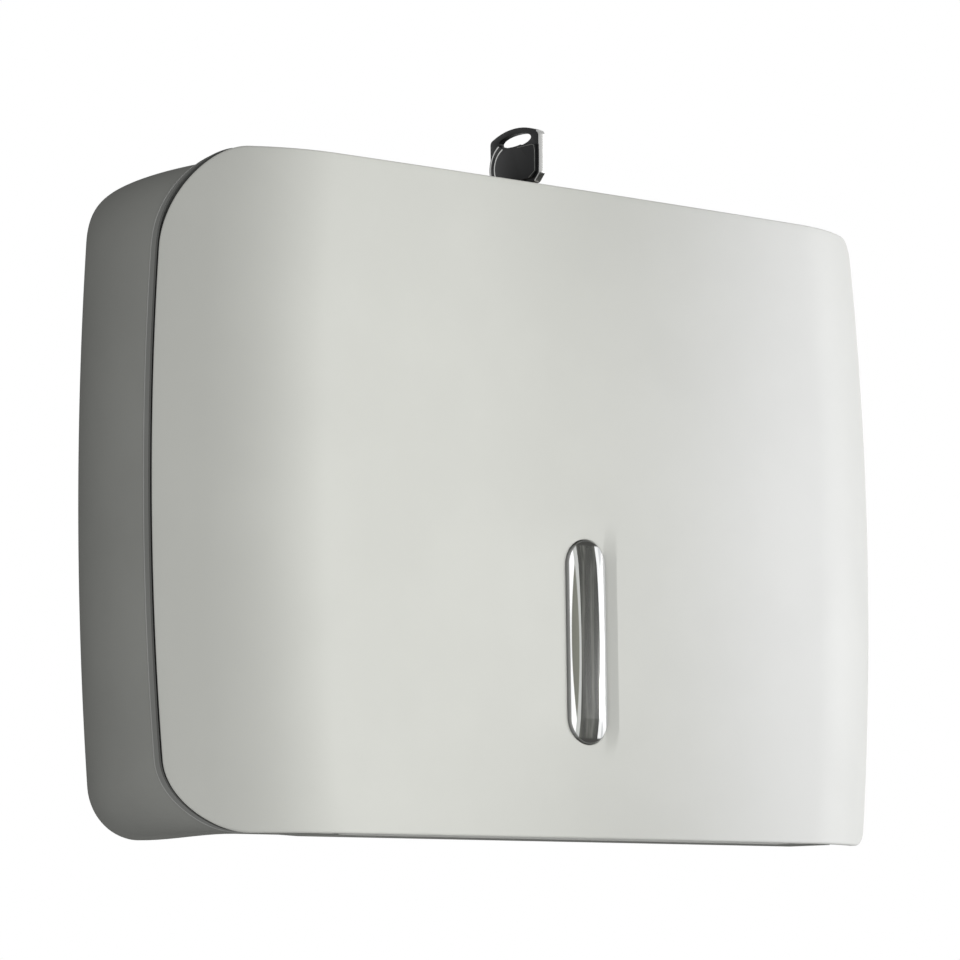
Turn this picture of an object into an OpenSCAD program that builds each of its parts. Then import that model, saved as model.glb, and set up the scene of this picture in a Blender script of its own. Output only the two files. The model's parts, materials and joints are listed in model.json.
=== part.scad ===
// Folded towel dispenser: a wrap-round cover hinged at its foot on a wall housing, with a key lock on top
// X runs along the wall, Y into the wall and Z up
// The origin lies on the wall plane, midway between the four wall screws

/* [Cover] */
// Height of the cover
cover_h = 200; // [190:1:225]
// Half width of the nearly flat middle of the front
flat_half = 100; // [98:1:112]
// Radius of the bend from the front into each flank
bend_r = 57; // [52:1:62]
// Angle that each flank turns through
bend_angle = 54; // [50:1:58]
// Height of the crown over the flat middle
crown = 1; // [0.6:0.1:1.6]
// How far the flanks draw in at the top and the foot
side_bow = 5.7; // [4:0.1:7]
// Wall of the cover
cover_wall = 2.5; // [2:0.1:3]
// Width of an upper corner
top_corner_w = 21; // [18:1:24]
// Height of an upper corner
top_corner_h = 30; // [24:1:34]
// Width of a lower corner
low_corner_w = 18; // [15:1:21]
// Height of a lower corner
low_corner_h = 21; // [18:1:26]

/* [Housing] */
// Depth from the wall to the front of the cover
depth = 92; // [90:1:105]
// How far the side walls draw in from their widest place to the wall
side_draw = 22.6; // [16:0.2:26]
// Share of the depth at which the housing is widest
widest_share = 0.44; // [0.4:0.01:0.5]
// How far the widest place lies inside the cover's side edge
side_inset = 1; // [0.8:0.1:2]
// Wall of the housing
case_wall = 2.5; // [2:0.1:3]
// How far the housing's top and bottom lie inside the cover's edges
edge_drop = 1.25; // [1:0.05:2]
// How far the middle of the underside is raised over its corners
floor_rise = 2.6; // [2:0.1:3.2]
// How far the apron of the housing shows below the cover
apron_drop = 0.35; // [0.2:0.05:0.6]
// Gap between the cover and the rim of the housing
rim_gap = 0.8; // [0.7:0.1:1.2]
// How far the front of the rim strip lies inside the cover's side edge
strip_inset = 0.4; // [0.2:0.1:0.8]
// Depth of the rim strip behind the cover
strip_w = 4.5; // [3:0.5:6]
// How far the rim strip stands proud of the side wall
strip_proud = 0.7; // [0.4:0.1:1]
// How far the side walls draw in at the wall's top and bottom
back_bow = 4.2; // [3:0.1:6]
// Width of a corner at the wall
back_corner_w = 16; // [12:1:20]
// Height of a corner at the wall
back_corner_h = 14; // [12:1:20]

/* [Wall fixing] */
// Spacing of the wall screws along the wall
screw_span_x = 180; // [160:1:186]
// Spacing of the wall screws up the wall
screw_span_z = 110; // [90:1:120]
// Radius of a wall screw hole
screw_hole_r = 2.6; // [2:0.1:3]
// Radius of the boss round a wall screw hole
screw_boss_r = 8; // [6:0.5:9]

/* [Hinge] */
// Distance of the hinge axis behind the front
hinge_back = 9; // [9:0.5:10]
// Height of the hinge axis over the foot of the cover
hinge_up = 3.2; // [3:0.1:4]
// Radius of a hinge pin
pin_r = 1.5; // [1.2:0.1:1.8]
// Radius round the pin of the ears and lugs
knuckle_r = 3; // [2.6:0.1:3.2]
// Distance of the ears' inner faces from the middle
ear_x = 98; // [94:1:99]
// Thickness of an ear
ear_t = 3; // [2.5:0.5:4]
// Thickness of a lug of the cover
lug_t = 4.5; // [3:0.5:6]

/* [Window] */
// Width of the window
window_w = 15.8; // [12:0.2:18]
// Height of the window
window_h = 62.8; // [50:0.2:70]
// Height of the window's middle below the middle of the cover
window_down = 40.2; // [35:0.2:44]
// How far the lens bulges
lens_bulge = 1.8; // [1:0.1:2.4]
// Width of the dished recess round the window
dish_w = 24; // [20:1:28]
// How far the dish runs past each end of the window
dish_over = 8; // [4:1:10]
// Depth of the dish
dish_deep = 0.8; // [0.4:0.1:1]

/* [Throat] */
// Length of the dispensing slot
slot_l = 130; // [110:2:136]
// Width of the dispensing slot
slot_w = 26; // [20:1:32]
// Share of the depth at which the slot's middle lies
slot_share = 0.598; // [0.57:0.001:0.61]
// Radius of the rolled lips along the slot
lip_r = 2; // [1.5:0.1:2.4]

/* [Lock] */
// Distance of the lock behind the front
lock_back = 29.8; // [29:0.2:33]
// Radius of the lock barrel
barrel_r = 8; // [7:0.5:9]
// Length of the lock barrel below the top face
barrel_l = 24; // [22:1:28]
// Radius of the turning plug
plug_r = 5.5; // [5:0.1:5.6]
// Reach of the cam's tongue from the lock axis
cam_reach = 24; // [22:1:25]
// Width of the tongue
tongue_w = 9; // [7:0.5:10]

/* [Key] */
// Width of the key's head
head_w = 23.6; // [22:0.2:28]
// Height of the key's head
head_h = 18.5; // [17.5:0.1:21]
// Thickness of the key's head
head_t = 2.2; // [2:0.1:3]
// Radius of the round rear end of the grip pad on each face
pad_r = 8.8; // [8:0.1:9.2]
// Height of the grip pad over the head's face
pad_t = 0.8; // [0.5:0.1:1.2]
// Length of the blade below the head
blade_l = 22; // [18:1:23]
// Width of the blade
blade_w = 8.4; // [7:0.1:9]
// Thickness of the blade
blade_t = 2; // [1.6:0.1:2.2]

/* [Hidden] */
$fn = 48;

// Gap between pieces that slip together
slip = 0.3;
// Gap round a turning shaft
running = 0.06;
// Overreach of a cutting tool past the face that it cuts
over = 1;
// Radius and height of the heads of the case, post and cam screws
case_head = [3, 1.6];
post_head = [2.4, 1.4];
cam_head = [5, 2];

// Places taken from the sizes above
front_y = -depth;
cover_half = flat_half + bend_r * sin(bend_angle);
edge_depth = crown + bend_r * (1 - cos(bend_angle));
widest_back = depth * widest_share;
side_run = depth - widest_back;
side_r = (pow(side_run, 2) + pow(side_draw, 2)) / (2 * side_draw);
slot_back = depth * slot_share;
case_half = cover_half - side_inset;
case_hh = cover_h / 2 - edge_drop;
floor_z = -case_hh + floor_rise + case_wall;
roof_z = case_hh - case_wall;
back_in = depth - case_wall;
back_mid = depth - case_wall / 2;
top_corner = [top_corner_w, top_corner_h];
low_corner = [low_corner_w, low_corner_h];
back_corner = [back_corner_w, back_corner_h];

// Rows up the sides, columns across the front and stations from the rim to the wall
row_n = 24;
bend_n = 9;
flat_n = 4;
flat_share = 0.64;
run_n = 12;
stations = [0, 0.16, 0.32, 0.48, 0.64, 0.8, 0.92, 1];

// A share of the height, 1 at the top and -1 at the foot, with the rows closest in the corners
function row_share(i) = sin(90 * (1 - 2 * i / row_n));

function blend(a, b, t) = a + (b - a) * t;

// Distance behind the front of the plan curve, and the angle it has turned through, that far from the middle
function bend_run(x) = max(abs(x) - flat_half, 0);
function plan_depth(x) =
    crown * pow(min(abs(x), flat_half) / flat_half, 2)
    + bend_r - sqrt(pow(bend_r, 2) - pow(bend_run(x), 2));
function plan_turn(x) = asin(bend_run(x) / bend_r);

// How far round a corner a height lies, from 0 on the side to 1 on the top
function corner_turn(q, hh, corner) = min(1, max(0, abs(q) * hh - (hh - corner[1])) / corner[1]);
function corner_in(q, hh, corner) = corner[0] * (1 - sqrt(1 - pow(corner_turn(q, hh, corner), 2)));

// Half width of a section with bowed sides and two pairs of corners
function half_at(q, half, hh, bow, upper, lower) =
    half - bow * q * q - corner_in(q, hh, q > 0 ? upper : lower);

// How far the bow shifts the bend inward, fading out towards the middle of the front
bow_from = 0.6;
function bow_shift(x, q) = side_bow * q * q * min(1, max(0, abs(x) / flat_half - bow_from) / (1 - bow_from));

function cover_x(u, q) = u * half_at(q, cover_half, cover_h / 2, side_bow, top_corner, low_corner);

// A point of the cover at a share u across and q up, that far in from its outer face
function cover_point(u, q, deep) =
    let (x = cover_x(u, q), bent = abs(x) + bow_shift(x, q), turn = plan_turn(bent))
    [
        x - sign(x) * deep * sin(turn),
        front_y + plan_depth(bent) + deep * cos(turn),
        q * cover_h / 2
    ];

columns = concat(
    [for (k = [0 : bend_n]) -1 + (1 - flat_share) * k / bend_n],
    [for (k = [1 : flat_n - 1]) flat_share * (2 * k / flat_n - 1)],
    [for (k = [0 : bend_n]) flat_share + (1 - flat_share) * k / bend_n]
);

// The middle of a flat ring that is alike on both sides
function middle(ring) = [0, ring[0][1], 0];

// Two triangles for each cell between two strings of point numbers
function cells(a, b) = [
    for (i = [0 : len(a) - 2]) each [[b[i], b[i + 1], a[i + 1]], [b[i], a[i + 1], a[i]]]
];

// A sheet with an outer and an inner grid of points, closed round its edges
module sheet(outer, inner) {
    rows = len(outer);
    wide = len(outer[0]);
    o = [for (i = [0 : rows - 1]) [for (j = [0 : wide - 1]) i * wide + j]];
    n = [for (row = o) [for (k = row) k + rows * wide]];
    left = [for (row = o) row[0]];
    right = [for (row = o) row[wide - 1]];
    left_in = [for (row = n) row[0]];
    right_in = [for (row = n) row[wide - 1]];
    polyhedron(
        points = concat([for (row = outer) each row], [for (row = inner) each row]),
        faces = concat(
            [for (i = [0 : rows - 2]) each cells(o[i + 1], o[i])],
            [for (i = [0 : rows - 2]) each cells(n[i], n[i + 1])],
            cells(o[0], n[0]),
            cells(n[rows - 1], o[rows - 1]),
            cells(left_in, left),
            cells(right, right_in)
        )
    );
}

// A solid through a string of closed rings, with its first and last faces fanned from their middles
module loft(rings) {
    n = len(rings[0]);
    last = len(rings) - 1;
    ring = [for (k = [0 : last]) [for (i = [0 : n]) k * n + i % n]];
    hub = (last + 1) * n;
    polyhedron(
        points = concat([for (r = rings) each r], [middle(rings[0]), middle(rings[last])]),
        faces = concat(
            [for (i = [0 : n - 1]) [hub, ring[0][i], ring[0][i + 1]]],
            [for (k = [0 : last - 1]) each cells(ring[k], ring[k + 1])],
            [for (i = [0 : n - 1]) [hub + 1, ring[last][i + 1], ring[last][i]]]
        )
    );
}

// The way round the housing, clockwise from the front: along the top, down, back along the bottom and up
way_round = concat(
    [for (k = [0 : run_n - 1]) [2 * k / run_n - 1, 1]],
    [for (i = [0 : row_n - 1]) [1, row_share(i)]],
    [for (k = [0 : run_n - 1]) [1 - 2 * k / run_n, -1]],
    [for (i = [row_n : -1 : 1]) [-1, row_share(i)]]
);

// Depth of the back of the cover at a place seen from the front: its inner face, or its sloping edge
function cover_back(x, z) =
    let (
        q = z / (cover_h / 2),
        edge = cover_x(1, q),
        edge_bent = edge + bow_shift(edge, q),
        bent = abs(x) + bow_shift(x, q)
    )
    min(
        plan_depth(bent) + cover_wall / cos(plan_turn(bent)),
        plan_depth(edge_bent) + max(edge - abs(x), 0) / tan(plan_turn(edge_bent))
    );

function side_half(d) =
    case_half - side_r + sqrt(pow(side_r, 2) - pow(max(d, edge_depth) - widest_back, 2));

// Height of the underside over its corners, at a share u across
floor_ramp = 0.33;
function floor_lift(u) = floor_rise * min(1, (1 - abs(u)) / floor_ramp);

// A point of the housing's section, inset by a wall, with its corners running from the rim's to the wall's
function section_point(u, q, d, t, half, inset) =
    let (
        hh = case_hh - inset,
        rim = [inset, inset],
        upper = blend(top_corner, back_corner, t) - rim,
        lower = blend(low_corner, back_corner, t) - rim,
        x = u * half_at(q, half - inset, hh, blend(side_bow, back_bow, t), upper, lower)
    )
    [x, front_y + d, q * hh + (q > -1 ? 0 : floor_lift(u))];

strip_front = cover_half - strip_inset;
strip_rear = side_half(edge_depth + strip_w) + strip_proud;

rim_slope = (strip_front - side_half(edge_depth) + case_wall) / tan(bend_angle);

// Depth of the housing's rim, which follows the back of the cover at a gap
function rim_depth(p) =
    let (place = section_point(p[0], p[1], 0, 0, strip_front, 0)) cover_back(place[0], place[2]) + rim_gap;

function strip_ring(back, half) = [
    for (p = way_round) section_point(p[0], p[1], rim_depth(p) + back, 0, half, 0)
];

function outer_ring(t) = [
    for (p = way_round)
        let (d = blend(rim_depth(p) + strip_w + strip_proud, depth, t))
        section_point(p[0], p[1], d, t, side_half(d), 0)
];

function inner_ring(t) = [
    for (p = way_round)
        let (d = blend(rim_depth(p) + rim_slope, back_in, t))
        section_point(p[0], p[1], d, t, side_half(d), case_wall)
];

function reverse(list) = [for (i = [len(list) - 1 : -1 : 0]) list[i]];

// A slot outline with round ends, along X
module slot_shape(l, w) {
    square([l - w, w], center = true);
    for (s = [-1, 1]) translate([s * (l - w) / 2, 0]) circle(d = w);
}

// Lays a flat outline, drawn as seen from the front, from one depth behind the front to another
module behind_front(from, to) {
    translate([0, front_y + to, 0]) rotate([90, 0, 0]) linear_extrude(to - from) children();
}

// A round bar into the depth at a place seen from the front
module bar_y(x, z, r, from, to) {
    behind_front(from, to) translate([x, z]) circle(r);
}

// A round bar up at a place seen from above, given behind the front
module bar_z(x, back, r, from, to) {
    translate([x, front_y + back, from]) cylinder(r = r, h = to - from);
}

// A bar along X at a place behind the front
module bar_x(back, z, r, from, to) {
    translate([from, front_y + back, z]) rotate([0, 90, 0]) cylinder(r = r, h = to - from);
}

// A block between two corners, each given along the wall, behind the front and up
module block(a, b) {
    translate([a[0], front_y + a[1], a[2]]) cube(b - a);
}

// A flat outline of depth and height, seen from the side, laid from one place along X to another
module side_plate(from, to) {
    translate([from, front_y, 0]) rotate([90, 0, 90]) linear_extrude(to - from) children();
}

// Hinge places
hinge_z = -cover_h / 2 + hinge_up;
foot_t = 2;
foot_past = 2;
foot_share = 0.33;
foot_reach = hinge_back + foot_past;
foot_back = hinge_back + hinge_up + foot_past;
foot_half = cover_x(1, -1) + foot_share * low_corner_w;
ear_mid = ear_x + ear_t / 2;
lug_mid = ear_x - slip - lug_t / 2;
pin_head_r = 2.6;
pin_head_t = 1.2;
ear_root = 12;
ear_floor = -case_hh + floor_lift(ear_mid / foot_half);
apron_run = cover_x(1, -1) - 4 * foot_past;
apron_t = 2;

// An ear of the housing, from its floor to the hinge pin
module ear_shape() {
    translate([hinge_back, hinge_z]) circle(knuckle_r);
    polygon([
        [hinge_back, hinge_z - knuckle_r],
        [foot_back, ear_floor + case_wall / 2],
        [foot_back + ear_root, ear_floor + case_wall / 2],
        [foot_back + ear_root, ear_floor + case_wall],
        [hinge_back + knuckle_r, hinge_z + knuckle_r],
        [hinge_back, hinge_z + knuckle_r]
    ]);
}

// Wall screw places and the ribs of the back wall
boss_h = 3;
rib_t = 1.6;
rib_h = 2;
rib_half = screw_span_x / 2 + screw_boss_r;

module wall_pattern() {
    for (x = [-1, 1], z = [-1, 1]) translate([x * screw_span_x / 2, z * screw_span_z / 2]) children();
}

// Throat places
throat_margin = 16;
throat_half = slot_l / 2 + throat_margin;
throat_depth = min(slot_w + 2 * throat_margin, 2 * (back_in - slot_back - case_wall));
throat_t = 2.5;
lip_half = (slot_l - slot_w) / 2;
mouth_margin = 8;
throat_screw_r = 1.5;
throat_screw_in = 5;

module throat_screw_places() {
    for (x = [-1, 1], d = [-1, 1])
        translate([
            x * (throat_half - throat_screw_in),
            front_y + slot_back + d * (throat_depth / 2 - throat_screw_in),
            0
        ]) children();
}

// Towel guide places
guide_half = side_half(back_in) - case_wall - back_bow;
guide_t = 2;
guide_low = floor_z + throat_t + 4 * case_wall;
guide_high = cover_h / 4;
guide_front = (edge_depth + widest_back) / 2 + case_wall;
guide_notch = 24;
guide_foot = 13;
guide_screw_r = 1.5;
guide_screw_in = 12;
guide_screw_x = guide_half - guide_t - guide_foot / 2;
guide_screw_z = [guide_low + guide_screw_in, guide_high - guide_screw_in];

module rear_housing() {
    color("#6f706d") difference() {
        union() {
            difference() {
                loft(concat(
                    [for (t = reverse(stations)) inner_ring(t)],
                    [strip_ring(0, strip_front), strip_ring(strip_w, strip_rear)],
                    [for (t = stations) outer_ring(t)]
                ));
                block([-foot_half, -over, -cover_h / 2 - over], [foot_half, foot_back, floor_z + over]);
                translate([0, front_y + slot_back, -case_hh - over])
                    linear_extrude(floor_z + case_hh + 2 * over)
                    slot_shape(slot_l + 2 * mouth_margin, slot_w + 2 * mouth_margin);
            }
            block([-apron_run, foot_back, -cover_h / 2 - apron_drop],
                [apron_run, foot_back + apron_t, floor_z - case_wall / 2]);
            for (s = [-1, 1]) side_plate(s * ear_mid - ear_t / 2, s * ear_mid + ear_t / 2) ear_shape();
            behind_front(back_in - boss_h, back_mid) wall_pattern() circle(screw_boss_r);
            for (z = [-1, 0, 1])
                block([-rib_half, back_in - rib_h, z * screw_span_z / 4 - rib_t / 2],
                    [rib_half, back_mid, z * screw_span_z / 4 + rib_t / 2]);
        }
        behind_front(back_in - boss_h - over, depth + over) wall_pattern() circle(screw_hole_r);
        for (s = [-1, 1]) bar_x(hinge_back, hinge_z, pin_r, s * ear_mid - ear_t, s * ear_mid + ear_t);
        bar_z(0, lock_back, barrel_r + slip, roof_z - over, case_hh + over);
        throat_screw_places() translate([0, 0, -case_hh - over])
            cylinder(r = throat_screw_r, h = floor_z + case_hh + 2 * over);
        for (s = [-1, 1], z = guide_screw_z)
            bar_y(s * guide_screw_x, z, guide_screw_r, back_in - over, depth + over);
    }
}

module throat_plate() {
    color("#5c5d5b") difference() {
        union() {
            translate([0, front_y + slot_back, floor_z]) linear_extrude(throat_t)
                square([2 * throat_half, throat_depth], center = true);
            for (d = [-1, 1]) bar_x(slot_back + d * (slot_w / 2 + lip_r), floor_z, lip_r, -lip_half, lip_half);
        }
        translate([0, front_y + slot_back, floor_z - over]) linear_extrude(throat_t + 2 * over)
            slot_shape(slot_l, slot_w);
        throat_screw_places() translate([0, 0, floor_z - over])
            cylinder(r = throat_screw_r + running, h = throat_t + 2 * over);
    }
}

// A pan-head screw down from the origin, with a cross recess left to the finish
module screw(r, l, head) {
    translate([0, 0, -l]) cylinder(r = r, h = l);
    rotate_extrude() intersection() {
        square(head);
        translate([0, head[1] - 2 * head[0]]) circle(2 * head[0]);
    }
}

module throat_screws() {
    color("silver") throat_screw_places() translate([0, 0, floor_z + throat_t])
        screw(throat_screw_r, throat_t + case_wall - slip, case_head);
}

module towel_guide() {
    difference() {
        union() {
            side_plate(guide_half - guide_t, guide_half) difference() {
                translate([guide_front, guide_low]) square([back_in - guide_front, guide_high - guide_low]);
                translate([guide_front, guide_high]) rotate(45) square(guide_notch, center = true);
            }
            block([guide_half - guide_t - guide_foot, back_in - guide_t, guide_low],
                [guide_half - guide_t, back_in, guide_high]);
        }
        for (z = guide_screw_z)
            bar_y(guide_screw_x, z, guide_screw_r + running, back_in - guide_t - over, back_in + over);
    }
}

module towel_guide_left() { color("#8b8c88") mirror([1, 0, 0]) towel_guide(); }
module towel_guide_right() { color("#8b8c88") towel_guide(); }

module guide_screws() {
    color("silver") for (s = [-1, 1], z = guide_screw_z)
        translate([s * guide_screw_x, front_y + back_in - guide_t, z]) rotate([90, 0, 0])
            screw(guide_screw_r, guide_t + case_wall - slip, case_head);
}

module hinge_pin() {
    bar_x(hinge_back, hinge_z, pin_r, ear_x - slip - lug_t, ear_x + ear_t);
    bar_x(hinge_back, hinge_z, pin_head_r, ear_x + ear_t, ear_x + ear_t + pin_head_t);
}

module hinge_pin_left() { color("silver") mirror([1, 0, 0]) hinge_pin(); }
module hinge_pin_right() { color("silver") hinge_pin(); }

// Lock places, from the top face downward
flange_w = 2.5;
flange_r = barrel_r + flange_w;
flange_t = 2;
face_t = 0.9;
face_w = 1.1;
face_r = plug_r + face_w;
lock_top = case_hh + flange_t;
barrel_low = case_hh - barrel_l;
plug_proud = 1;
plug_low = barrel_low - plug_proud;
cam_t = 2;
cam_r = 7;
drive_w = 7;
washer_t = 0.8;
washer_w = 3;
nut_t = 4;
nut_w = 4.7;
nut_r = barrel_r + nut_w;
cam_screw_r = 1.5;
keyway_low = lock_top - blade_l - slip;
keyway_web = 1.2;
cam_screw_l = keyway_low - plug_low + cam_t - keyway_web;

module lock_barrel() {
    color("silver") difference() {
        union() {
            bar_z(0, lock_back, barrel_r, barrel_low, case_hh);
            bar_z(0, lock_back, flange_r, case_hh, lock_top);
        }
        bar_z(0, lock_back, plug_r + running, barrel_low - over, lock_top + over);
        bar_z(0, lock_back, face_r + running, lock_top - face_t - running, lock_top + over);
    }
}

module lock_washer() {
    color("silver") difference() {
        bar_z(0, lock_back, barrel_r + washer_w, roof_z - washer_t, roof_z);
        bar_z(0, lock_back, barrel_r + slip, roof_z - washer_t - over, roof_z + over);
    }
}

module lock_nut() {
    color("silver") difference() {
        translate([0, front_y + lock_back, roof_z - washer_t - nut_t]) cylinder(r = nut_r, h = nut_t, $fn = 6);
        bar_z(0, lock_back, barrel_r + running, roof_z - washer_t - nut_t - over, roof_z);
    }
}

module lock_plug() {
    color("#c9a55a") difference() {
        union() {
            bar_z(0, lock_back, plug_r, plug_low, lock_top);
            bar_z(0, lock_back, face_r, lock_top - face_t, lock_top);
            block([-drive_w / 2, lock_back - drive_w / 2, plug_low - cam_t],
                [drive_w / 2, lock_back + drive_w / 2, plug_low]);
        }
        block([-blade_t / 2 - slip, lock_back - blade_w / 2 - slip, keyway_low],
            [blade_t / 2 + slip, lock_back + blade_w / 2 + slip, lock_top + over]);
        bar_z(0, lock_back, cam_screw_r, plug_low - cam_t - over, plug_low - cam_t + cam_screw_l);
    }
}

module lock_cam() {
    color("silver") difference() {
        translate([0, front_y + lock_back, plug_low - cam_t]) linear_extrude(cam_t) {
            circle(cam_r);
            translate([-tongue_w / 2, -cam_reach + tongue_w / 2]) square([tongue_w, cam_reach - tongue_w / 2]);
            translate([0, -cam_reach + tongue_w / 2]) circle(d = tongue_w);
        }
        block([-drive_w / 2, lock_back - drive_w / 2, plug_low - cam_t - over],
            [drive_w / 2, lock_back + drive_w / 2, plug_low + over]);
    }
}

module cam_screw() {
    color("silver") translate([0, front_y + lock_back, plug_low - cam_t]) mirror([0, 0, 1])
        screw(cam_screw_r, cam_screw_l, cam_head);
}

// Key places
head_up = 4.8;
head_low = lock_top + head_up;
head_top = head_low + head_h;
head_round = 1.5;
arch_rise = 2.7;
arch_r = (pow(head_w / 2, 2) + pow(arch_rise, 2)) / (2 * arch_rise);
head_chamfer = 2.6;
ring_hole_l = 15.5;
ring_hole_w = 4.2;
ring_hole_z = head_top - ring_hole_w + slip;
pad_front = 1.4;
pad_drop = 0.6;
pad_up = 6.5;
pad_top = ring_hole_z - ring_hole_w / 2 - pad_drop;
pad_mid = [head_w / 2 - slip - pad_r, head_low + pad_up];
line_w = 0.5;
line_t = 0.4;
line_in = 0.25;
line_step = 1.9;
line_from = 2.4;
trim_w = 0.5;
blade_root = 6;
groove_w = 1;
notch_n = 4;
notch_w = 1.6;
notch_step = 4;

// The head's outline, seen along X with its middle on the lock axis, that far inside its edge
module head_shape(edge) {
    half = head_w / 2;
    offset(head_round) offset(delta = -head_round - edge) intersection() {
        translate([0, head_top - arch_r]) circle(arch_r, $fn = 96);
        polygon([
            [-half, head_top], [-half, head_low + head_chamfer], [-half + head_chamfer, head_low],
            [half - head_chamfer, head_low], [half, head_low + head_chamfer], [half, head_top]
        ]);
    }
}

module ring_hole_shape() {
    translate([0, ring_hole_z]) scale([ring_hole_l / ring_hole_w, 1]) circle(d = ring_hole_w);
}

// The grip pad: a round rear end, and a front that keeps inside the head's edge below the ring hole
module pad_shape() {
    intersection() {
        translate(pad_mid) circle(pad_r);
        head_shape(0);
    }
    intersection() {
        head_shape(pad_front);
        translate([-head_w / 2, head_low]) square([head_w, pad_top - head_low]);
    }
}

// A pair of bright lines round the rear end of the pad
module line_shape() {
    intersection() {
        for (r = [pad_r - line_in, pad_r - line_in - line_step]) translate(pad_mid) difference() {
            circle(r);
            circle(r - line_w);
        }
        head_shape(line_in);
        translate([pad_mid[0] + line_from, head_low]) square([pad_r, head_h]);
    }
}

// A bright trim along the head's front edge and its chamfer
module trim_shape() {
    intersection() {
        difference() {
            head_shape(0);
            head_shape(trim_w);
        }
        translate([-head_w / 2, head_low]) {
            square([head_round, head_h]);
            square([head_chamfer, 2 * head_chamfer]);
        }
    }
}

module key_side(from, to) {
    translate([from, front_y + lock_back, 0]) rotate([90, 0, 90]) linear_extrude(to - from) children();
}

module key_blade() {
    color("#b9bab8") difference() {
        block([-blade_t / 2, lock_back - blade_w / 2, lock_top - blade_l],
            [blade_t / 2, lock_back + blade_w / 2, head_low + blade_root]);
        block([-over, lock_back + blade_w / 4, lock_top - blade_l - over],
            [-blade_t / 4, lock_back + blade_w / 4 + groove_w, lock_top]);
        for (k = [1 : notch_n])
            translate([0, front_y + lock_back - blade_w / 2, lock_top - blade_l + notch_step * k])
                rotate([45, 0, 0]) cube([blade_t + over, notch_w, notch_w], center = true);
    }
}

module key_head() {
    color("#1d1e1f") difference() {
        union() {
            key_side(-head_t / 2, head_t / 2) head_shape(0);
            key_side(-head_t / 2 - pad_t, head_t / 2 + pad_t) pad_shape();
        }
        key_side(-head_t, head_t) ring_hole_shape();
        block([-blade_t / 2, lock_back - blade_w / 2, lock_top - over],
            [blade_t / 2, lock_back + blade_w / 2, head_low + blade_root]);
        key_rim_pieces();
    }
}

// The trim of the front edge, and the lines let into both pads
module key_rim_pieces() {
    out = head_t / 2 + pad_t;
    key_side(-head_t / 2, head_t / 2) trim_shape();
    difference() {
        for (from = [-out, out - line_t]) key_side(from, from + line_t) line_shape();
        key_side(-head_t, head_t) ring_hole_shape();
    }
}

module key_rim() { color("#cfd0cd") key_rim_pieces(); }

// Window places
lens_flange = 2.2;
lens_flange_t = 1.7;
lens_play = 0.1;
lens_seat = cover_wall + lens_play;
retainer_back = lens_seat + lens_flange_t + lens_play;
retainer_t = 2;
retainer_lap = 2;
post_r = 3.5;
window_post_up = window_h / 2 + lens_flange + post_r + over;
window_screw_r = 1.2;
pilot_wall = 1.2;

module window_place() { translate([0, -window_down]) rotate(90) children(); }
module window_posts() {
    for (s = [-1, 1]) translate([0, -window_down + s * window_post_up]) children();
}

// Catch places
catch_w = 8;
catch_x = [2 * cam_r, 2 * cam_r + catch_w];
catch_mid = (catch_x[0] + catch_x[1]) / 2;
catch_t = 2;
hook_gap = 1.6;
hook_back = lock_back + tongue_w / 2 + hook_gap;
arm_drop = 3;
arm_high = plug_low - cam_t - arm_drop;
hook_high = plug_low + hook_gap;
plate_h = 24;
plate_low = arm_high - plate_h;
plate_back = cover_wall + crown + catch_t;
catch_screw_r = 1.2;
catch_post_in = 5;
catch_post_z = [plate_low + catch_post_in, plate_low + 3 * catch_post_in];

module catch_posts() { for (z = catch_post_z) translate([catch_mid, z]) children(); }

// The return along the foot of the cover ends short of the lugs
foot_short = 4;
foot_run = ear_x - slip - lug_t - foot_short;

module front_cover() {
    rows = [for (i = [0 : row_n]) row_share(i)];
    color("#d1d2cc") difference() {
        union() {
            difference() {
                sheet(
                    [for (q = rows) [for (u = columns) cover_point(u, q, 0)]],
                    [for (q = rows) [for (u = columns) cover_point(u, q, cover_wall)]]
                );
                behind_front(-over, dish_deep) window_place() slot_shape(window_h + 2 * dish_over, dish_w);
                behind_front(-over, cover_wall + over) window_place() slot_shape(window_h, window_w);
            }
            behind_front(cover_wall / 2, retainer_back) window_posts() circle(post_r);
            behind_front(cover_wall / 2, plate_back) catch_posts() circle(post_r);
            for (s = [-1, 1]) side_plate(s * lug_mid - lug_t / 2, s * lug_mid + lug_t / 2) {
                translate([hinge_back, hinge_z]) circle(knuckle_r);
                translate([crown + cover_wall / 2, hinge_z - knuckle_r])
                    square([hinge_back - crown - cover_wall / 2, 2 * knuckle_r]);
            }
            block([-foot_run, crown + cover_wall / 2, -cover_h / 2],
                [foot_run, foot_reach, -cover_h / 2 + foot_t]);
        }
        for (s = [-1, 1]) bar_x(hinge_back, hinge_z, pin_r + running, s * lug_mid - lug_t, s * lug_mid + lug_t);
        behind_front(pilot_wall, retainer_back + over) window_posts() circle(window_screw_r);
        behind_front(pilot_wall, plate_back + over) catch_posts() circle(catch_screw_r);
    }
}

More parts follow.
